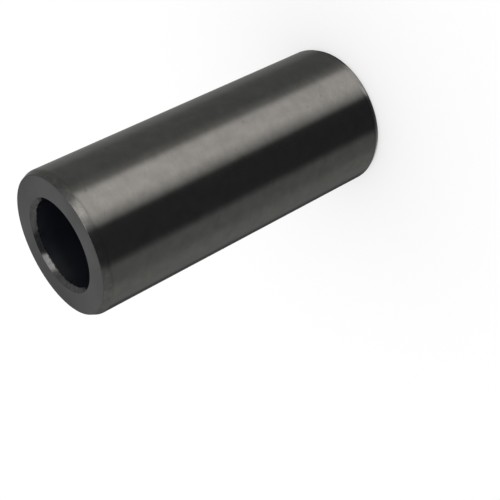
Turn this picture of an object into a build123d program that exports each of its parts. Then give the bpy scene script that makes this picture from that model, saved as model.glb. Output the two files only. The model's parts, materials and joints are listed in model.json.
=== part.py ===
from build123d import *

import math
import os

# A gudgeon pin: one hollow steel cylinder, turned, hardened and ground, that joins a piston to the
# small end of its connecting rod. It stands on its lower end face, with the origin at the centre of
# that face and +Z along the pin. All sizes are in millimetres and all angles in degrees.

# Barrel: the ground outside, which runs in the small end and sits in the piston's two bosses.
BARREL_DIAMETER = 22.0
PIN_LENGTH = 52.0

# Wall: what is left between the barrel and the straight bore, which takes weight off the pin.
WALL_THICKNESS = 4.4

# Lead-in: the shallow cone at each end of the barrel that guides the pin into its bosses. A wide
# blend carries the barrel into it, so that no edge is left to score them.
LEAD_IN_LENGTH = 1.0
LEAD_IN_ANGLE = 25.0
LEAD_IN_BLEND = 1.0

# Land: the flat ring of each end face, between the lead-in and the mouth of the bore.
LAND_OUTER_BLEND = 0.2
LAND_INNER_BLEND = 0.1

# Mouth: the bevel at each end of the bore, rounded slightly where it meets the bore.
MOUTH_DEPTH = 0.7
MOUTH_ANGLE = 45.0
BORE_EDGE_BLEND = 0.15

NODE = "gudgeon_pin"


def end_corners() -> dict[str, tuple[float, float]]:
    """Corners of the wall's section at the lower end, as radius and height, from the bore outwards."""
    barrel_radius = BARREL_DIAMETER / 2
    bore_radius = barrel_radius - WALL_THICKNESS
    mouth_widening = MOUTH_DEPTH * math.tan(math.radians(MOUTH_ANGLE))
    lead_in_step = LEAD_IN_LENGTH * math.tan(math.radians(LEAD_IN_ANGLE))
    return {
        "bore end": (bore_radius, MOUTH_DEPTH),
        "land inner edge": (bore_radius + mouth_widening, 0.0),
        "land outer edge": (barrel_radius - lead_in_step, 0.0),
        "barrel end": (barrel_radius, LEAD_IN_LENGTH),
    }


def upper(corner: tuple[float, float]) -> tuple[float, float]:
    """The matching corner of the upper end, which is the lower end's mirror image."""
    radius, height = corner
    return radius, PIN_LENGTH - height


def wall_section() -> Sketch:
    """The wall cut along the axis: a closed outline on the XZ plane with its worked edges blended.

    The outline is drawn in the plane's own coordinates, radius first and height second.
    """
    corners = end_corners()
    blends = {
        "bore end": BORE_EDGE_BLEND,
        "land inner edge": LAND_INNER_BLEND,
        "land outer edge": LAND_OUTER_BLEND,
        "barrel end": LEAD_IN_BLEND,
    }
    lower_end = list(corners.values())
    upper_end = [upper(corner) for corner in reversed(lower_end)]
    with BuildSketch(Plane.XZ) as section:
        with BuildLine():
            Polyline(*lower_end, *upper_end, close=True)
        make_face()
        for name, radius in blends.items():
            for place in (corners[name], upper(corners[name])):
                fillet(section.vertices().sort_by_distance(place)[0], radius)
    return section.sketch


def gudgeon_pin() -> Part:
    """The whole pin: its wall's section turned once round the axis."""
    with BuildPart() as pin:
        add(wall_section())
        revolve(axis=Axis.Z)
    pin.part.label = NODE
    return pin.part


os.makedirs("parts", exist_ok=True)
export_step(gudgeon_pin(), f"parts/{NODE}.step")
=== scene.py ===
"""Dresses the gudgeon pin in ground steel and dark scale, and lights it in a plain white studio.

The pin stands on its lower end face. Lengths are in metres, and millimetre sizes are written with MM.
"""

import json
import logging
import math
from dataclasses import dataclass
from enum import Enum

import bmesh
import bpy
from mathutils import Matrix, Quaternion, Vector

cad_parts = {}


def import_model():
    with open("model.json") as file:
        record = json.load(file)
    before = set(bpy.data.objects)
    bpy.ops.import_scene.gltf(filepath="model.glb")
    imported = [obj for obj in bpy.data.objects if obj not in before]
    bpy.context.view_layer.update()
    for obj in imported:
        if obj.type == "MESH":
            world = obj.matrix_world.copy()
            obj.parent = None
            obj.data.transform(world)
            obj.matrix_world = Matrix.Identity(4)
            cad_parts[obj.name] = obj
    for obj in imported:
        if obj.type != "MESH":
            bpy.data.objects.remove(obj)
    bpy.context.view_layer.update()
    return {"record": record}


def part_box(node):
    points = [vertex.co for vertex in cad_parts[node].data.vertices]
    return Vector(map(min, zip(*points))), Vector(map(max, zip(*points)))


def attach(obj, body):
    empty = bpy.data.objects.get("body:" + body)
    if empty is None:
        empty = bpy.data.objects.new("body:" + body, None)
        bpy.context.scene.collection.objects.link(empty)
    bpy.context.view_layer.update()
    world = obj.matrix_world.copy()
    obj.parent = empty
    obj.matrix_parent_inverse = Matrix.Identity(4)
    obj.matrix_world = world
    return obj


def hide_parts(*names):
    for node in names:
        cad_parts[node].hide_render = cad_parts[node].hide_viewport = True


LOG = logging.getLogger("gudgeon_pin")
MM = 0.001
NODE = "gudgeon_pin"
BODY = "root"

WHITE = (1.0, 1.0, 1.0, 1.0)

# A noise's middle value, and the two between which most of its values lie.
NOISE_MIDDLE = 0.5
NOISE_LOW, NOISE_HIGH = 0.3, 0.7

# The share of a full turn that lays the wider blur of a ground surface along the pin.
BLUR_ALONG_PIN = 0.25

Socket = bpy.types.NodeSocket
Feed = Socket | float | tuple


class Zone(Enum):
    """The five worked surfaces of the pin, numbered as its material slots."""

    BARREL = 0
    LEAD_IN = 1
    LAND = 2
    MOUTH = 3
    BORE = 4


class Lay(Enum):
    """The way in which the grinding lines of a surface are stacked, as the value that the group takes."""

    ALONG_PIN = 0.0
    OUT_FROM_AXIS = 1.0


class Graph:
    """A node tree with short calls for the nodes that the finishes use."""

    def __init__(self, tree: bpy.types.NodeTree) -> None:
        """Empties the tree.

        Args:
            tree: The material's, world's or group's node tree.
        """
        self.tree = tree
        tree.nodes.clear()

    def node(self, kind: str, **settings: object) -> bpy.types.Node:
        """Adds a node.

        Args:
            kind: The node's type, without the ShaderNode before it, or the whole name of a group node.
            settings: Properties of the node to set.

        Returns:
            The new node.
        """
        whole = kind if kind.startswith("Node") else "ShaderNode" + kind
        made = self.tree.nodes.new(whole)
        for name, value in settings.items():
            setattr(made, name, value)
        return made

    def feed(self, socket: Socket, value: Feed) -> None:
        """Links a socket to another one, or sets its value.

        Args:
            socket: The input to feed.
            value: The output to link, or a number or tuple.
        """
        if isinstance(value, Socket):
            self.tree.links.new(value, socket)
        else:
            socket.default_value = value

    def math(self, operation: str, *values: Feed, clamp: bool = False) -> Socket:
        """Adds a Math node.

        Args:
            operation: The node's operation.
            values: Its inputs in order.
            clamp: Whether the result is kept from 0 to 1.

        Returns:
            The node's output.
        """
        made = self.node("Math", operation=operation, use_clamp=clamp)
        for socket, value in zip(made.inputs, values):
            self.feed(socket, value)
        return made.outputs[0]

    def vector(self, operation: str, *values: Feed) -> Socket:
        """Adds a Vector Math node.

        Args:
            operation: The node's operation.
            values: Its vectors in order.

        Returns:
            The node's vector output.
        """
        made = self.node("VectorMath", operation=operation)
        for socket, value in zip(made.inputs, values):
            self.feed(socket, value)
        return made.outputs["Vector"]

    def stretch(self, vector: Feed, factor: Feed) -> Socket:
        """Multiplies a vector by a number.

        Args:
            vector: The vector.
            factor: The number.

        Returns:
            The longer or shorter vector.
        """
        made = self.node("VectorMath", operation="SCALE")
        self.feed(made.inputs[0], vector)
        self.feed(made.inputs["Scale"], factor)
        return made.outputs["Vector"]

    def split(self, vector: Feed) -> tuple[Socket, Socket, Socket]:
        """Takes a vector apart.

        Args:
            vector: The vector.

        Returns:
            Its three numbers.
        """
        made = self.node("SeparateXYZ")
        self.feed(made.inputs[0], vector)
        return made.outputs[0], made.outputs[1], made.outputs[2]

    def combine(self, x: Feed, y: Feed, z: Feed) -> Socket:
        """Joins three numbers into a vector.

        Args:
            x: The first number.
            y: The second number.
            z: The third number.

        Returns:
            The vector.
        """
        made = self.node("CombineXYZ")
        for socket, value in zip(made.inputs, (x, y, z)):
            self.feed(socket, value)
        return made.outputs[0]

    def product(self, first: Feed, *others: Feed) -> Socket:
        """Multiplies numbers.

        Args:
            first: The first number.
            others: The rest, at least one.

        Returns:
            The product.
        """
        total = first
        for value in others:
            total = self.math("MULTIPLY", total, value)
        return total

    def noise(self, position: Feed, detail: float, roughness: float = 0.5, scale: float = 1.0) -> Socket:
        """Adds a Noise Texture.

        Args:
            position: Where it is read.
            detail: The number of finer octaves.
            roughness: The weight of those octaves.
            scale: How many times finer than its position it is read.

        Returns:
            The noise, from 0 to 1 and mostly near 0.5.
        """
        made = self.node("TexNoise")
        self.feed(made.inputs["Vector"], position)
        made.inputs["Scale"].default_value = scale
        made.inputs["Detail"].default_value = detail
        made.inputs["Roughness"].default_value = roughness
        return made.outputs[0]

    def remap(
        self, value: Feed, low: Feed, high: Feed, to_low: Feed, to_high: Feed, smooth: bool = False
    ) -> Socket:
        """Maps a range of values onto another, clamped at both ends.

        Args:
            value: The value to map.
            low: Where the first range starts.
            high: Where it ends.
            to_low: What its start becomes.
            to_high: What its end becomes.
            smooth: Whether the change eases in and out.

        Returns:
            The mapped value.
        """
        made = self.node("MapRange", interpolation_type="SMOOTHSTEP" if smooth else "LINEAR")
        for socket, given in zip(made.inputs, (value, low, high, to_low, to_high)):
            self.feed(socket, given)
        return made.outputs[0]

    def spread(self, noise: Feed, low: float, high: float) -> Socket:
        """Widens a noise to a given range.

        Args:
            noise: The noise, from 0 to 1 and mostly near 0.5.
            low: What its low values become.
            high: What its high values become.

        Returns:
            The widened noise.
        """
        return self.remap(noise, NOISE_LOW, NOISE_HIGH, low, high)

    def sway(self, noise: Feed, reach: float) -> Socket:
        """Turns a noise into a factor about 1.

        Args:
            noise: The noise, from 0 to 1 and mostly near 0.5.
            reach: How far the factor goes either way from 1.

        Returns:
            The factor.
        """
        return self.spread(noise, 1.0 - reach, 1.0 + reach)

    def mix(self, share: Feed, first: Feed, second: Feed) -> Socket:
        """Blends two numbers.

        Args:
            share: How much of the second is taken, from 0 to 1.
            first: The first number.
            second: The second number.

        Returns:
            The blend.
        """
        made = self.node("Mix", data_type="FLOAT")
        for place, value in zip((0, 2, 3), (share, first, second)):
            self.feed(made.inputs[place], value)
        return made.outputs[0]

    def mix_color(self, share: Feed, first: tuple, second: tuple) -> Socket:
        """Blends two colours.

        The Mix node holds sockets of every kind at once, so they are taken by their places.

        Args:
            share: How much of the second is taken, from 0 to 1.
            first: The first colour.
            second: The second colour.

        Returns:
            The blend.
        """
        made = self.node("Mix", data_type="RGBA")
        for place, value in zip((0, 6, 7), (share, (*first, 1.0), (*second, 1.0))):
            self.feed(made.inputs[place], value)
        return made.outputs[2]

    def group(self, tree: bpy.types.NodeTree, **values: Feed) -> bpy.types.Node:
        """Places a node group.

        Args:
            tree: The group's tree.
            values: Its inputs by name, with _ for each space.

        Returns:
            The group node.
        """
        made = self.node("Group", node_tree=tree)
        for name, value in values.items():
            self.feed(made.inputs[name.replace("_", " ")], value)
        return made


def new_group(
    name: str, inputs: dict[str, tuple[str, object]], outputs: tuple[str, ...]
) -> tuple[Graph, dict[str, Socket], dict[str, Socket]]:
    """Makes an empty shader node group with named sockets.

    Args:
        name: The group's name.
        inputs: Each input's socket type and default by its name.
        outputs: The names of its outputs, which are all single values.

    Returns:
        The group's graph, its input sockets by name and its output sockets by name.
    """
    tree = bpy.data.node_groups.new(name, "ShaderNodeTree")
    graph = Graph(tree)
    for label, (kind, default) in inputs.items():
        made = tree.interface.new_socket(name=label, in_out="INPUT", socket_type=kind)
        if default is not None:
            made.default_value = default
    for label in outputs:
        tree.interface.new_socket(name=label, in_out="OUTPUT", socket_type="NodeSocketFloat")
    entry = graph.node("NodeGroupInput")
    leave = graph.node("NodeGroupOutput")
    return graph, dict(entry.outputs.items()), dict(leave.inputs.items())


def round_place(graph: Graph, position: Feed) -> tuple[Socket, Socket, Socket]:
    """Reads a place as the lathe sees it.

    Args:
        graph: The tree to add to.
        position: The place in object coordinates.

    Returns:
        The height along the pin, the distance from its axis, and the unit vector out from the axis.
    """
    x, y, height = graph.split(position)
    flat = graph.combine(x, y, 0.0)
    length = graph.node("VectorMath", operation="LENGTH")
    graph.feed(length.inputs[0], flat)
    return height, length.outputs["Value"], graph.vector("NORMALIZE", flat)


@dataclass
class SurfaceEffects:
    """The node groups that the pin's finishes share, each built once."""

    half_length: float

    def __post_init__(self) -> None:
        """Builds the groups."""
        self.grinding = self.build_grinding()
        # On the land the clouds, and on the barrel and lead-in the edge ring, are painted light and shade.
        self.marks_and_shading = self.build_marks_and_shading()
        self.end_depth = self.build_end_depth()
        self.edge_wear_and_shade = self.build_edge_wear_and_shade()

    def build_grinding(self) -> bpy.types.NodeTree:
        """Fine lines round the axis, as a wheel leaves them, uneven in strength and length.

        Returns:
            The group, with Lines and Fine Lines from 0 to 1 about 0.5.
        """
        graph, take, give = new_group(
            "grinding_lines",
            {
                "Position": ("NodeSocketVector", None),
                "Out From Axis": ("NodeSocketFloat", Lay.ALONG_PIN.value),
                "Pitch": ("NodeSocketFloat", 0.2 * MM),
                "Run": ("NodeSocketFloat", 1.0),
                "Patch Size": ("NodeSocketFloat", 7.0 * MM),
            },
            ("Lines", "Fine Lines"),
        )
        weakest = 0.2
        finer = 3.7
        height, radius, out = round_place(graph, take["Position"])
        across = graph.mix(take["Out From Axis"], height, radius)
        out_x, out_y, _ = graph.split(graph.stretch(out, take["Run"]))
        place = graph.combine(out_x, out_y, graph.math("DIVIDE", across, take["Pitch"]))
        patch = graph.stretch(take["Position"], graph.math("DIVIDE", 1.0, take["Patch Size"]))
        strength = graph.spread(graph.noise(patch, detail=2.0), weakest, 1.0)
        lines = graph.noise(place, detail=2.0, roughness=0.6)
        graph.feed(give["Lines"], graph.mix(strength, NOISE_MIDDLE, lines))
        fine_lines = graph.noise(place, detail=1.0, roughness=0.6, scale=finer)
        graph.feed(give["Fine Lines"], fine_lines)
        return graph.tree

    def build_marks_and_shading(self) -> bpy.types.NodeTree:
        """Faint cloudiness of the oil film, a few tiny specks and short slanting hairlines. Made large and
        strong, as on the land, the clouds are painted light and shade.

        Returns:
            The group, with Clouds from 0 to 1 about 0.5, and Specks and Hairlines as masks.
        """
        graph, take, give = new_group(
            "handling_marks_and_shading",
            {
                "Position": ("NodeSocketVector", None),
                "Cloud Size": ("NodeSocketFloat", 4.0 * MM),
                "Cloud Shift": ("NodeSocketFloat", 0.0),
                "Speck Spacing": ("NodeSocketFloat", 3.0 * MM),
                "Speck Size": ("NodeSocketFloat", 0.06),
                "Hairline Spacing": ("NodeSocketFloat", 2.6 * MM),
                "Hairline Width": ("NodeSocketFloat", 0.012),
            },
            ("Clouds", "Specks", "Hairlines"),
        )
        soft_edge = 2.0
        cloud_place = graph.stretch(take["Position"], graph.math("DIVIDE", 1.0, take["Cloud Size"]))
        moved = graph.vector("ADD", cloud_place, graph.combine(0.0, take["Cloud Shift"], 0.0))
        graph.feed(give["Clouds"], graph.noise(moved, detail=3.0, roughness=0.55))
        spots = graph.stretch(take["Position"], graph.math("DIVIDE", 1.0, take["Speck Spacing"]))
        cells = graph.node("TexVoronoi", feature="F1")
        graph.feed(cells.inputs["Vector"], spots)
        cells.inputs["Scale"].default_value = 1.0
        edge = graph.math("MULTIPLY", take["Speck Size"], soft_edge)
        specks = graph.remap(cells.outputs["Distance"], take["Speck Size"], edge, 1.0, 0.0)
        graph.feed(give["Specks"], specks)
        graph.feed(give["Hairlines"], self.hairlines(graph, take))
        return graph.tree

    def hairlines(self, graph: Graph, take: dict[str, Socket]) -> Socket:
        """Draws thin lines where a noise that is drawn out on a slant passes its middle value.

        Args:
            graph: The group's graph.
            take: The group's inputs by name.

        Returns:
            The mask.
        """
        slant = 0.7
        drawn_out = 0.09
        cut_scale = 0.6
        cut_from, cut_to = 0.56, 0.62
        place = graph.stretch(take["Position"], graph.math("DIVIDE", 1.0, take["Hairline Spacing"]))
        x, y, z = graph.split(place)
        across = graph.math("ADD", z, graph.math("MULTIPLY", x, slant))
        along = graph.math("MULTIPLY", x, drawn_out)
        aside = graph.math("MULTIPLY", y, drawn_out)
        field = graph.noise(graph.combine(along, aside, across), detail=1.0, roughness=0.4)
        off = graph.math("ABSOLUTE", graph.math("SUBTRACT", field, NOISE_MIDDLE))
        line = graph.remap(off, 0.0, take["Hairline Width"], 1.0, 0.0)
        cuts = graph.noise(place, detail=1.0, scale=cut_scale)
        short = graph.remap(cuts, cut_from, cut_to, 0.0, 1.0)
        return graph.math("MULTIPLY", line, short)

    def build_end_depth(self) -> bpy.types.NodeTree:
        """How far a place lies in from the nearer end of the pin.

        Returns:
            The group, with Depth in metres.
        """
        graph, take, give = new_group("end_depth", {"Position": ("NodeSocketVector", None)}, ("Depth",))
        height = graph.split(take["Position"])[2]
        from_middle = graph.math("ABSOLUTE", graph.math("SUBTRACT", height, self.half_length))
        graph.feed(give["Depth"], graph.math("SUBTRACT", self.half_length, from_middle))
        return graph.tree

    def build_edge_wear_and_shade(self) -> bpy.types.NodeTree:
        """A mask with a ragged border round one worked edge at both ends of the pin.

        Returns:
            The group, with Mask as 1 on the edge.
        """
        graph, take, give = new_group(
            "edge_wear_and_shade",
            {
                "Position": ("NodeSocketVector", None),
                "Edge Radius": ("NodeSocketFloat", 0.0),
                "Edge Depth": ("NodeSocketFloat", 0.0),
                "Width": ("NodeSocketFloat", 0.2 * MM),
                "Unevenness": ("NodeSocketFloat", 0.05 * MM),
                "Nick Size": ("NodeSocketFloat", 0.5 * MM),
            },
            ("Mask",),
        )
        radius = round_place(graph, take["Position"])[1]
        depth = graph.group(self.end_depth, Position=take["Position"]).outputs["Depth"]
        off_radius = graph.math("SUBTRACT", radius, take["Edge Radius"])
        off_depth = graph.math("SUBTRACT", depth, take["Edge Depth"])
        squares = [graph.math("POWER", off, 2.0) for off in (off_radius, off_depth)]
        apart = graph.math("SQRT", graph.math("ADD", *squares))
        nicks = graph.stretch(take["Position"], graph.math("DIVIDE", 1.0, take["Nick Size"]))
        ragged = graph.spread(graph.noise(nicks, detail=2.0), -1.0, 1.0)
        border = graph.math("ADD", apart, graph.math("MULTIPLY", ragged, take["Unevenness"]))
        graph.feed(give["Mask"], graph.remap(border, 0.0, take["Width"], 1.0, 0.0, smooth=True))
        return graph.tree


@dataclass(frozen=True)
class Grinding:
    """The lines that a wheel leaves: how they lie, and how far they shade, dull and dent the steel."""

    lay: Lay
    pitch: float
    run: float
    shade: float
    gloss: float
    depth: float


@dataclass(frozen=True)
class Marks:
    """The size and strength of the cloudiness, specks and hairlines left by use; on the land the cloudiness
    is painted light and shade.
    """

    cloud_size: float
    cloud_shade: float
    speck_shade: float
    cloud_shift: float = 0.0
    hairline_shade: float = 0.0


@dataclass(frozen=True)
class EdgeWearAndShade:
    """One worked edge of the section, and how much lighter or darker the steel turns beside it."""

    # On the barrel and lead-in the ring is painted shade, standing in for a dip in their reflection; on the
    # land it is wear, and at the mouth the dark scale that creeps up from the bore.
    radius: float
    depth: float
    width: float
    unevenness: float
    shade: float


@dataclass(frozen=True)
class GroundSteel:
    """One ground steel surface: its colour and gloss, its lines and marks, and the wear beside its edge,
    which on the barrel and lead-in is painted shade.
    """

    name: str
    color: tuple[float, float, float]
    roughness: float
    anisotropy: float
    grinding: Grinding
    marks: Marks
    edge: EdgeWearAndShade

    def build(self, effects: SurfaceEffects) -> bpy.types.Material:
        """Makes the material.

        Args:
            effects: The shared node groups.

        Returns:
            The new material.
        """
        material = bpy.data.materials.new(self.name)
        material.use_nodes = True
        graph = Graph(material.node_tree)
        position = graph.node("TexCoord").outputs["Object"]
        lines = graph.group(
            effects.grinding,
            Position=position,
            Out_From_Axis=self.grinding.lay.value,
            Pitch=self.grinding.pitch,
            Run=self.grinding.run,
        )
        tint = graph.stretch(self.color, self.shade(graph, effects, position, lines.outputs["Lines"]))
        dullest = self.roughness + self.grinding.gloss
        glossiest = self.roughness - self.grinding.gloss
        bump = graph.node("Bump")
        bump.inputs["Strength"].default_value = 1.0
        bump.inputs["Distance"].default_value = self.grinding.depth
        graph.feed(bump.inputs["Height"], lines.outputs["Lines"])
        steel = graph.node("BsdfPrincipled")
        steel.inputs["Metallic"].default_value = 1.0
        steel.inputs["Anisotropic"].default_value = self.anisotropy
        steel.inputs["Anisotropic Rotation"].default_value = BLUR_ALONG_PIN
        graph.feed(steel.inputs["Base Color"], tint)
        gloss = graph.spread(lines.outputs["Fine Lines"], glossiest, dullest)
        graph.feed(steel.inputs["Roughness"], gloss)
        graph.feed(steel.inputs["Normal"], bump.outputs[0])
        graph.feed(graph.node("OutputMaterial").inputs["Surface"], steel.outputs[0])
        return material

    def shade(self, graph: Graph, effects: SurfaceEffects, position: Socket, lines: Socket) -> Socket:
        """Works out how much lighter or darker than its colour the steel is.

        Args:
            graph: The material's graph.
            effects: The shared node groups.
            position: The place in object coordinates.
            lines: The grinding lines, from 0 to 1 about 0.5.

        Returns:
            The factor for the colour.
        """
        marks_and_shading = graph.group(
            effects.marks_and_shading,
            Position=position,
            Cloud_Size=self.marks.cloud_size,
            Cloud_Shift=self.marks.cloud_shift,
        )
        edge = graph.group(
            effects.edge_wear_and_shade,
            Position=position,
            Edge_Radius=self.edge.radius,
            Edge_Depth=self.edge.depth,
            Width=self.edge.width,
            Unevenness=self.edge.unevenness,
        )
        masks = (
            (marks_and_shading.outputs["Specks"], -self.marks.speck_shade),
            (marks_and_shading.outputs["Hairlines"], -self.marks.hairline_shade),
            (edge.outputs["Mask"], self.edge.shade),
        )
        return graph.product(
            graph.sway(lines, self.grinding.shade),
            graph.sway(marks_and_shading.outputs["Clouds"], self.marks.cloud_shade),
            *(graph.remap(mask, 0.0, 1.0, 1.0, 1.0 + change) for mask, change in masks),
        )


@dataclass(frozen=True)
class HeatScaleAndPaintedLight:
    """The dark, slightly blue scale that heat treatment leaves on a bore nobody grinds.

    It is painted lighter towards each mouth, where light falls into the bore, and in patches where light
    catches the wall: painted light over the dark scale, which fades to the plain scale deeper in.
    """

    name: str
    # dark is the scale's own colour; light is the colour it is painted where light falls on it.
    dark: tuple[float, float, float]
    light: tuple[float, float, float]
    roughness: float
    gloss: float
    patch_size: float
    patch_shift: float
    patch_range: tuple[float, float]
    patch_share: float
    grain_size: float
    grain_depth: float
    lit_depth: tuple[float, float]
    least_lit: float
    specular_level: float
    specular_tint: tuple[float, float, float]

    def build(self, effects: SurfaceEffects) -> bpy.types.Material:
        """Makes the material.

        Args:
            effects: The shared node groups.

        Returns:
            The new material.
        """
        material = bpy.data.materials.new(self.name)
        material.use_nodes = True
        graph = Graph(material.node_tree)
        position = graph.node("TexCoord").outputs["Object"]
        # Painted light: patches placed where light catches the wall, deep in the bore too.
        patch_place = graph.stretch(position, 1.0 / self.patch_size)
        moved = graph.vector("ADD", patch_place, (0.0, self.patch_shift, 0.0))
        cloudy = graph.noise(moved, detail=4.0, roughness=0.6)
        patches = graph.remap(cloudy, *self.patch_range, 0.0, 1.0)
        grain = graph.noise(graph.stretch(position, 1.0 / self.grain_size), detail=3.0, roughness=0.6)
        depth = graph.group(effects.end_depth, Position=position).outputs["Depth"]
        # Painted light: lighter near each mouth, fading to the dark scale deeper in.
        lit_near_mouth = graph.remap(depth, *self.lit_depth, 1.0, 0.0, smooth=True)
        uneven = graph.remap(patches, 0.0, 1.0, self.least_lit, 1.0)
        near_mouth = graph.math("MULTIPLY", lit_near_mouth, uneven)
        deeper = graph.math("MULTIPLY", patches, self.patch_share)
        lightness = graph.math("MAXIMUM", near_mouth, deeper)
        bump = graph.node("Bump")
        bump.inputs["Distance"].default_value = self.grain_depth
        graph.feed(bump.inputs["Height"], grain)
        scale = graph.node("BsdfPrincipled")
        scale.inputs["Metallic"].default_value = 0.0
        scale.inputs["Specular IOR Level"].default_value = self.specular_level
        scale.inputs["Specular Tint"].default_value = (*self.specular_tint, 1.0)
        dullest = self.roughness + self.gloss
        glossiest = self.roughness - self.gloss
        graph.feed(scale.inputs["Base Color"], graph.mix_color(lightness, self.dark, self.light))
        graph.feed(scale.inputs["Roughness"], graph.spread(grain, glossiest, dullest))
        graph.feed(scale.inputs["Normal"], bump.outputs[0])
        graph.feed(graph.node("OutputMaterial").inputs["Surface"], scale.outputs[0])
        return material


@dataclass
class GudgeonPin:
    """The pin itself: one hollow cylinder, turned round its axis from the section of its wall."""

    barrel_radius: float
    bore_radius: float
    length: float
    lead_in_length: float = 1.0 * MM
    lead_in_angle: float = math.radians(25.0)
    lead_in_blend: float = 1.0 * MM
    land_outer_blend: float = 0.2 * MM
    land_inner_blend: float = 0.1 * MM
    mouth_depth: float = 0.7 * MM
    mouth_angle: float = math.radians(45.0)
    bore_edge_blend: float = 0.15 * MM
    steps_round: int = 256
    blend_steps: int = 8
    large_face_weight: int = 100

    @classmethod
    def from_record(cls, record: dict) -> "GudgeonPin":
        """Reads the pin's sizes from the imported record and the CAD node's box.

        Args:
            record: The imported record.

        Returns:
            The pin, not built yet.
        """
        sizes = {mount["name"]: mount["dims"] for mount in record["mounts"]}
        low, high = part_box(NODE)
        return cls(
            barrel_radius=sizes["barrel"]["r_mm"] * MM,
            bore_radius=sizes["bore"]["r_mm"] * MM,
            length=high.z - low.z,
        )

    @property
    def mouth_radius(self) -> float:
        """Radius of the bevel's outer edge, where the land starts."""
        return self.bore_radius + self.mouth_depth * math.tan(self.mouth_angle)

    @property
    def land_radius(self) -> float:
        """Radius of the land's outer edge, where the lead-in starts."""
        return self.barrel_radius - self.lead_in_length * math.tan(self.lead_in_angle)

    @property
    def barrel_start(self) -> float:
        """How far in from either end the lead-in's blend runs out on the barrel."""
        return self.lead_in_length + self.lead_in_blend * math.tan(self.lead_in_angle / 2)

    def corners(self) -> list[tuple[float, float]]:
        """Lists the corners of the wall's section.

        Returns:
            Each corner's radius and height, once round from the lower bore edge.
        """
        lower = [
            (self.bore_radius, self.mouth_depth),
            (self.mouth_radius, 0.0),
            (self.land_radius, 0.0),
            (self.barrel_radius, self.lead_in_length),
        ]
        return lower + [(radius, self.length - height) for radius, height in reversed(lower)]

    def build_mesh(self) -> bpy.types.Mesh:
        """Spins the wall's section round the axis and blends its worked edges.

        Returns:
            The mesh, with its faces numbered by zone.
        """
        bm = bmesh.new()
        ring = [bm.verts.new((radius, 0.0, height)) for radius, height in self.corners()]
        outline = [bm.edges.new((a, b)) for a, b in zip(ring, ring[1:] + ring[:1])]
        bmesh.ops.spin(
            bm,
            geom=ring + outline,
            cent=(0.0, 0.0, 0.0),
            axis=(0.0, 0.0, 1.0),
            dvec=(0.0, 0.0, 0.0),
            angle=math.tau,
            steps=self.steps_round,
            use_merge=True,
            use_duplicate=False,
        )
        merge_distance = 0.001 * MM
        bmesh.ops.remove_doubles(bm, verts=bm.verts[:], dist=merge_distance)
        bmesh.ops.recalc_face_normals(bm, faces=bm.faces[:])
        quarter = math.radians(90.0)
        blends = (
            (self.barrel_radius, self.lead_in_length, self.lead_in_blend, self.lead_in_angle),
            (self.land_radius, 0.0, self.land_outer_blend, quarter - self.lead_in_angle),
            (self.mouth_radius, 0.0, self.land_inner_blend, quarter - self.mouth_angle),
            (self.bore_radius, self.mouth_depth, self.bore_edge_blend, self.mouth_angle),
        )
        for radius, depth, blend, turn in blends:
            self.blend_edge(bm, radius, depth, blend, turn)
        for face in bm.faces:
            face.smooth = True
            face.material_index = self.zone_of(face).value
        mesh = bpy.data.meshes.new("pin_body")
        bm.to_mesh(mesh)
        bm.free()
        return mesh

    def blend_edge(
        self, bm: bmesh.types.BMesh, radius: float, depth: float, blend: float, turn: float
    ) -> None:
        """Rounds one ring edge at both ends of the pin.

        Args:
            bm: The mesh in the making.
            radius: The ring's radius.
            depth: How far the ring lies in from the end of the pin.
            blend: The radius of the rounding.
            turn: The angle by which the surface turns at the ring.
        """
        edges = [edge for edge in bm.edges if self.on_ring(edge, radius, depth)]
        bmesh.ops.bevel(
            bm,
            geom=edges,
            offset=blend * math.tan(turn / 2),
            offset_type="OFFSET",
            segments=self.blend_steps,
            profile=0.5,
            affect="EDGES",
            material=-1,
        )

    def on_ring(self, edge: bmesh.types.BMEdge, radius: float, depth: float) -> bool:
        """Tests whether an edge runs round the axis on a given ring.

        Args:
            edge: The edge.
            radius: The ring's radius.
            depth: How far the ring lies in from the end of the pin.

        Returns:
            Whether it is part of that ring, at either end.
        """
        near = 0.01 * MM
        low, high = sorted(vert.co.z for vert in edge.verts)
        off_radius = max(abs(vert.co.xy.length - radius) for vert in edge.verts)
        off_depth = abs(min(low, self.length - low) - depth)
        return max(high - low, off_radius, off_depth) < near

    def zone_of(self, face: bmesh.types.BMFace) -> Zone:
        """Names the worked surface that a face belongs to.

        Args:
            face: A face of the finished mesh.

        Returns:
            Its zone.
        """
        centre = face.calc_center_median()
        radius = centre.xy.length
        depth = min(centre.z, self.length - centre.z)
        if depth > self.lead_in_length and radius > self.mouth_radius:
            return Zone.BARREL
        if radius > self.land_radius:
            return Zone.LEAD_IN
        if radius > self.mouth_radius:
            return Zone.LAND
        return Zone.MOUTH if depth < self.mouth_depth + self.bore_edge_blend else Zone.BORE

    def dress(self, mesh: bpy.types.Mesh) -> None:
        """Gives the mesh its five finishes.

        Args:
            mesh: The pin's mesh.
        """
        effects = SurfaceEffects(half_length=self.length / 2)
        finishes = self.finishes()
        for zone in Zone:
            mesh.materials.append(finishes[zone].build(effects))

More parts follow.
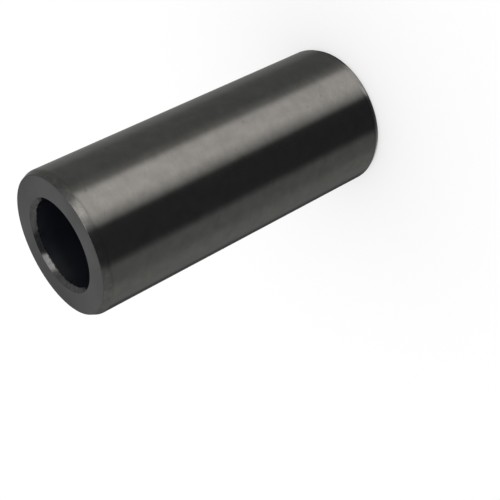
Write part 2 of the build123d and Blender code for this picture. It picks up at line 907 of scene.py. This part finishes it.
    def finishes(self) -> dict[Zone, GroundSteel | HeatScaleAndPaintedLight]:
        """Describes the finish of each worked surface.

        Returns:
            The finishes by zone.
        """
        # Painted shade: a soft darker ring where the lead-in's blend runs out on the barrel, standing in
        # for a dip in the reflection there.
        painted_dip_ring = EdgeWearAndShade(
            radius=self.barrel_radius,
            depth=self.barrel_start,
            width=0.3 * MM,
            unevenness=0.06 * MM,
            shade=-0.13,
        )
        return {
            Zone.BARREL: GroundSteel(
                name="ground_barrel",
                color=(0.26, 0.255, 0.25),
                roughness=0.16,
                anisotropy=0.5,
                grinding=Grinding(
                    lay=Lay.ALONG_PIN, pitch=0.21 * MM, run=0.6, shade=0.025, gloss=0.03, depth=0.0002 * MM
                ),
                marks=Marks(cloud_size=1.8 * MM, cloud_shade=0.09, speck_shade=0.12, hairline_shade=0.08),
                edge=painted_dip_ring,
            ),
            Zone.LEAD_IN: GroundSteel(
                name="ground_lead_in",
                color=(0.262, 0.258, 0.254),
                roughness=0.17,
                anisotropy=0.4,
                grinding=Grinding(
                    lay=Lay.ALONG_PIN, pitch=0.12 * MM, run=0.8, shade=0.04, gloss=0.04, depth=0.0004 * MM
                ),
                marks=Marks(cloud_size=0.7 * MM, cloud_shade=0.17, speck_shade=0.1, cloud_shift=25.75),
                edge=painted_dip_ring,
            ),
            Zone.LAND: GroundSteel(
                name="ground_land",
                color=(0.248, 0.247, 0.264),
                roughness=0.38,
                anisotropy=0.1,
                grinding=Grinding(
                    lay=Lay.OUT_FROM_AXIS,
                    pitch=0.16 * MM,
                    run=2.0,
                    shade=0.03,
                    gloss=0.03,
                    depth=0.0003 * MM,
                ),
                # Painted light and shade: large, strong clouds shifted so that one side of the land comes
                # out lighter and the other darker, as its reflections fall.
                marks=Marks(cloud_size=12.0 * MM, cloud_shade=0.2, speck_shade=0.08, cloud_shift=45.0),
                edge=EdgeWearAndShade(
                    radius=self.mouth_radius, depth=0.0, width=0.4 * MM, unevenness=0.15 * MM, shade=0.05
                ),
            ),
            Zone.MOUTH: GroundSteel(
                name="turned_mouth",
                color=(0.258, 0.258, 0.265),
                roughness=0.13,
                anisotropy=0.3,
                grinding=Grinding(
                    lay=Lay.ALONG_PIN, pitch=0.1 * MM, run=1.0, shade=0.06, gloss=0.04, depth=0.0005 * MM
                ),
                marks=Marks(cloud_size=0.6 * MM, cloud_shade=0.22, speck_shade=0.1),
                edge=EdgeWearAndShade(
                    radius=self.bore_radius,
                    depth=self.mouth_depth,
                    width=0.18 * MM,
                    unevenness=0.1 * MM,
                    shade=-0.8,
                ),
            ),
            # The bore's dark scale, painted lighter near the mouths and in patches where light falls in.
            Zone.BORE: HeatScaleAndPaintedLight(
                name="bore_scale_and_painted_light",
                dark=(0.008, 0.0095, 0.0135),
                light=(0.026, 0.026, 0.0265),
                roughness=0.5,
                gloss=0.06,
                patch_size=9.0 * MM,
                patch_shift=57.5,
                patch_range=(0.42, 0.66),
                patch_share=0.2,
                grain_size=0.45 * MM,
                grain_depth=0.01 * MM,
                lit_depth=(0.7 * MM, 4.0 * MM),
                least_lit=0.08,
                specular_level=0.3,
                specular_tint=(0.6, 0.75, 1.0),
            ),
        }

    def build(self) -> bpy.types.Object:
        """Builds, dresses and places the pin over its CAD node.

        Returns:
            The finished piece.
        """
        mesh = self.build_mesh()
        self.dress(mesh)
        piece = bpy.data.objects.new("pin_body", mesh)
        bpy.context.scene.collection.objects.link(piece)
        even = piece.modifiers.new("even_normals", "WEIGHTED_NORMAL")
        even.mode = "FACE_AREA"
        even.weight = self.large_face_weight
        even.keep_sharp = True
        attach(piece, BODY)
        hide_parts(NODE)
        return piece


@dataclass(frozen=True)
class Card:
    """One card on the dome: how bright it is, where 1 is white, and where its edges lie.

    Each edge is a pair of angles in degrees, between which the card fades in or out. A card with no
    bottom or top edge reaches all the way down or up.
    """

    level: float
    left: tuple[float, float]
    right: tuple[float, float]
    bottom: tuple[float, float] | None = None
    top: tuple[float, float] | None = None

    def mask(self, graph: Graph, azimuth: Socket, elevation: Socket) -> Socket:
        """Works out where the card lies.

        Args:
            graph: The cards' tree.
            azimuth: The azimuth in degrees.
            elevation: The elevation in degrees.

        Returns:
            1 on the card and 0 off it.
        """
        half_turn = 180.0
        middle = (self.left[1] + self.right[0]) / 2
        aside = graph.math("WRAP", graph.math("SUBTRACT", azimuth, middle), half_turn, -half_turn)
        left, right = ([angle - middle for angle in edge] for edge in (self.left, self.right))
        parts = [
            graph.remap(aside, *left, 0.0, 1.0, smooth=True),
            graph.remap(aside, *right, 1.0, 0.0, smooth=True),
        ]
        if self.bottom:
            parts.append(graph.remap(elevation, *self.bottom, 0.0, 1.0, smooth=True))
        if self.top:
            parts.append(graph.remap(elevation, *self.top, 1.0, 0.0, smooth=True))
        return graph.product(*parts)


@dataclass
class ReflectionDome:
    """A few pale and dark cards far off round the pin, which only its polished surfaces see.

    An azimuth of 0 is the camera's side and 90 is the +X side. Elevations are as seen from the pin's
    middle. In the photograph's view the barrel mirrors elevations from about -40 to -24, the upper
    lead-in from -10 to 26, the land from 24 to 39 on the far side, the upper mouth from 2 to 68, and the
    lower lead-in those below about -40.
    """

    centre_height: float
    radius: float = 0.7
    segments: int = 64
    rings: int = 32
    room_level: float = 0.18
    left_wall: Card = Card(level=0.22, left=(-148, -128), right=(-66, -56))
    left_board: Card = Card(level=0.28, left=(-144, -108), right=(-104, -84), top=(20, 40))
    back_wall: Card = Card(
        level=0.26, left=(115, 135), right=(160, 185), bottom=(-46, -40), top=(-14, 6)
    )
    dark_corner: Card = Card(
        level=0.07, left=(-170, -158), right=(-149, -141), bottom=(-46, -40), top=(-20, 0)
    )
    dim_corner: Card = Card(level=0.11, left=(134, 146), right=(158, 172), bottom=(-2, 8), top=(5, 25))
    high_back_wall: Card = Card(level=0.27, left=(140, 165), right=(200, 225), bottom=(5, 20))
    black_card: Card = Card(level=0.05, left=(-66, -50), right=(-4, 4))
    spill: Card = Card(level=0.3, left=(0, 10), right=(60, 78))
    soft_box: Card = Card(level=1.05, left=(-4, 26), right=(50, 64), top=(-20, 5))
    upper_box: Card = Card(level=1.05, left=(2, 28), right=(38, 56), bottom=(-20, 5), top=(34, 44))
    top_box: Card = Card(level=0.9, left=(0, 14), right=(62, 76), bottom=(34, 44))
    top_black: Card = Card(level=0.06, left=(-88, -68), right=(-4, 4), bottom=(34, 44))
    low_black: Card = Card(level=0.05, left=(-96, -58), right=(-6, 6), top=(-46, -40))
    low_spill: Card = Card(level=0.5, left=(50, 58), right=(74, 96), top=(-46, -40))
    low_box: Card = Card(level=1.15, left=(4, 30), right=(56, 76), top=(-46, -40))
    low_strip: Card = Card(
        level=0.95, left=(-178, -168), right=(-152, -134), bottom=(-68, -62), top=(-46, -40)
    )
    low_corner: Card = Card(level=0.06, left=(124, 138), right=(174, 182), top=(-46, -40))
    foot_black: Card = Card(level=0.045, left=(-126, -108), right=(-20, 20), top=(-68, -62))
    foot_pale: Card = Card(level=0.85, left=(0, 60), right=(116, 138), top=(-68, -62))
    slope_from: tuple[float, float] = (-36.0, -24.0)
    slope: float = 0.12
    dark_level: float = 0.04
    dark_tint: tuple[float, float, float] = (0.94, 1.0, 1.0)
    grey_level: float = 0.2
    grey_tint: tuple[float, float, float] = (0.985, 1.0, 0.955)
    pale_level: float = 0.9
    pale_tint: tuple[float, float, float] = (1.0, 0.965, 0.915)

    def cards(self) -> tuple[Card, ...]:
        """Lists the cards from the hindmost to the foremost.

        Returns:
            The cards, in the order in which they cover each other.
        """
        return (
            self.left_wall,
            self.left_board,
            self.back_wall,
            self.dark_corner,
            self.dim_corner,
            self.high_back_wall,
            self.black_card,
            self.spill,
            self.soft_box,
            self.upper_box,
            self.top_box,
            self.top_black,
            self.low_black,
            self.low_spill,
            self.low_box,
            self.low_strip,
            self.low_corner,
            self.foot_black,
            self.foot_pale,
        )

    def build(self) -> bpy.types.Object:
        """Builds the dome.

        Returns:
            The dome, hidden from the camera, from diffuse rays and from shadows.
        """
        bm = bmesh.new()
        bmesh.ops.create_uvsphere(bm, u_segments=self.segments, v_segments=self.rings, radius=self.radius)
        mesh = bpy.data.meshes.new("dome")
        bm.to_mesh(mesh)
        bm.free()
        mesh.materials.append(self.material())
        dome = bpy.data.objects.new("dome", mesh)
        dome.location.z = self.centre_height
        bpy.context.scene.collection.objects.link(dome)
        dome.visible_camera = False
        dome.visible_diffuse = False
        dome.visible_shadow = False
        return dome

    def material(self) -> bpy.types.Material:
        """Makes the cards' material: each card laid over those behind it.

        Returns:
            The new material.
        """
        material = bpy.data.materials.new("dome_cards")
        material.use_nodes = True
        graph = Graph(material.node_tree)
        x, y, climb = graph.split(graph.vector("NORMALIZE", graph.node("TexCoord").outputs["Object"]))
        azimuth = graph.math("DEGREES", graph.math("ARCTAN2", x, graph.math("MULTIPLY", y, -1.0)))
        elevation = graph.math("DEGREES", graph.math("ARCSINE", climb))
        level = self.room_level
        for card in self.cards():
            level = graph.mix(card.mask(graph, azimuth, elevation), level, card.level)
        level = graph.math("MULTIPLY", level, self.slope_gain(graph, elevation))
        glow = graph.node("Emission")
        graph.feed(glow.inputs["Color"], self.tint(graph, level))
        graph.feed(glow.inputs["Strength"], level)
        graph.feed(graph.node("OutputMaterial").inputs["Surface"], glow.outputs[0])
        material.cycles.emission_sampling = "NONE"
        return material

    def tint(self, graph: Graph, level: Socket) -> Socket:
        """Makes the dark cards a little cool and the pale ones a little warm.

        Args:
            graph: The cards' tree.
            level: How bright the card is.

        Returns:
            The colour.
        """
        made = graph.node("ValToRGB")
        graph.feed(made.inputs[0], level)
        ramp = made.color_ramp
        ramp.interpolation = "LINEAR"
        ramp.elements[0].position = self.dark_level
        ramp.elements[0].color = (*self.dark_tint, 1.0)
        ramp.elements[1].position = self.pale_level
        ramp.elements[1].color = (*self.pale_tint, 1.0)
        ramp.elements.new(self.grey_level).color = (*self.grey_tint, 1.0)
        return made.outputs[0]

    def slope_gain(self, graph: Graph, elevation: Socket) -> Socket:
        """Makes the cards a little brighter upwards, as the end of the pin nearer to the camera sees them.

        Args:
            graph: The cards' tree.
            elevation: The elevation in degrees.

        Returns:
            The gain.
        """
        return graph.remap(elevation, *self.slope_from, 1.0 - self.slope / 2, 1.0 + self.slope / 2)


@dataclass
class Studio:
    """The white floor, the world and the lamp."""

    floor_size: float = 6.0
    floor_drop: float = 0.1 * MM
    shadow_lift: float = 0.6
    world_level: float = 1.0
    lamp_power: float = 0.6
    lamp_size: float = 0.6
    lamp_place: tuple[float, float, float] = (0.15, -0.5, 0.9)

    def build(self) -> None:
        """Builds the floor, the world and the lamp."""
        self.build_floor()
        self.build_world()
        self.build_lamp()

    def build_floor(self) -> None:
        """Lays the floor just under the pin, because the pin's own face fills the plane above it."""
        bm = bmesh.new()
        bmesh.ops.create_grid(bm, x_segments=1, y_segments=1, size=self.floor_size / 2)
        bmesh.ops.translate(bm, vec=(0.0, 0.0, -self.floor_drop), verts=bm.verts[:])
        mesh = bpy.data.meshes.new("floor")
        bm.to_mesh(mesh)
        bm.free()
        material = bpy.data.materials.new("white_floor")
        material.use_nodes = True
        graph = Graph(material.node_tree)
        paper = graph.node("BsdfDiffuse")
        paper.inputs["Color"].default_value = WHITE
        white = graph.node("Emission")
        blend = graph.node("MixShader")
        graph.feed(blend.inputs[0], graph.math("MULTIPLY", self.seen_plainly(graph), self.shadow_lift))
        graph.feed(blend.inputs[1], paper.outputs[0])
        graph.feed(blend.inputs[2], white.outputs[0])
        graph.feed(graph.node("OutputMaterial").inputs["Surface"], blend.outputs[0])
        mesh.materials.append(material)
        floor = bpy.data.objects.new("floor", mesh)
        floor.visible_glossy = False
        bpy.context.scene.collection.objects.link(floor)

    def seen_plainly(self, graph: Graph) -> Socket:
        """Tells the rays that show the floor itself from those that light the pin by it.

        Args:
            graph: The floor's tree.

        Returns:
            1 for rays from the camera, also by way of polished or clear things, and 0 for others.
        """
        path = graph.node("LightPath")
        mirrored = graph.math("MAXIMUM", path.outputs["Is Glossy Ray"], path.outputs["Is Transmission Ray"])
        return graph.math("MAXIMUM", path.outputs["Is Camera Ray"], mirrored)

    def build_world(self) -> None:
        """Makes a plain white world."""
        world = bpy.data.worlds.new("studio")
        world.use_nodes = True
        graph = Graph(world.node_tree)
        sky = graph.node("Background")
        sky.inputs["Color"].default_value = WHITE
        sky.inputs["Strength"].default_value = self.world_level
        graph.feed(graph.node("OutputWorld").inputs["Surface"], sky.outputs[0])
        bpy.context.scene.world = world

    def build_lamp(self) -> None:
        """Hangs one large soft lamp over the camera, which the dome's cards stand for in the steel."""
        light = bpy.data.lights.new("soft_lamp", "AREA")
        light.shape = "DISK"
        light.size = self.lamp_size
        light.energy = self.lamp_power
        lamp = bpy.data.objects.new("soft_lamp", light)
        lamp.location = self.lamp_place
        lamp.rotation_euler = (-Vector(self.lamp_place)).to_track_quat("-Z", "Y").to_euler()
        lamp.visible_glossy = False
        bpy.context.scene.collection.objects.link(lamp)


@dataclass
class PhotoCamera:
    """The camera, fitted to the photograph's view of the pin."""

    place: tuple[float, float, float] = (0.0, -151.76 * MM, 114.86 * MM)
    aim: tuple[float, float, float] = (-13.08 * MM, 0.0, 24.71 * MM)
    roll: float = math.radians(118.45)
    lens: float = 84.65
    sensor_width: float = 36.0
    clip_start: float = 10.0 * MM
    clip_end: float = 20.0

    def build(self) -> bpy.types.Object:
        """Makes the camera the scene's own.

        Returns:
            The camera object.
        """
        data = bpy.data.cameras.new("camera")
        data.lens = self.lens
        data.sensor_width = self.sensor_width
        data.clip_start = self.clip_start
        data.clip_end = self.clip_end
        camera = bpy.data.objects.new("camera", data)
        place = Vector(self.place)
        level = (Vector(self.aim) - place).to_track_quat("-Z", "Y")
        camera.location = place
        camera.rotation_mode = "QUATERNION"
        camera.rotation_quaternion = level @ Quaternion((0.0, 0.0, 1.0), -self.roll)
        bpy.context.scene.collection.objects.link(camera)
        bpy.context.scene.camera = camera
        return camera


def main() -> None:
    """Loads the frame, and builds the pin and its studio."""
    logging.basicConfig(level=logging.INFO, format="%(name)s: %(message)s")
    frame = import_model()
    pin = GudgeonPin.from_record(frame["record"])
    piece = pin.build()
    LOG.info("pin: %d faces, %.1f mm long", len(piece.data.polygons), pin.length / MM)
    Studio().build()
    LOG.info("studio: floor, world and lamp")
    dome = ReflectionDome(centre_height=pin.length / 2)
    dome.build()
    LOG.info("dome: %.1f m across", 2 * dome.radius)
    PhotoCamera().build()
    bpy.context.scene.view_settings.view_transform = "Standard"


if __name__ == "__main__":
    main()
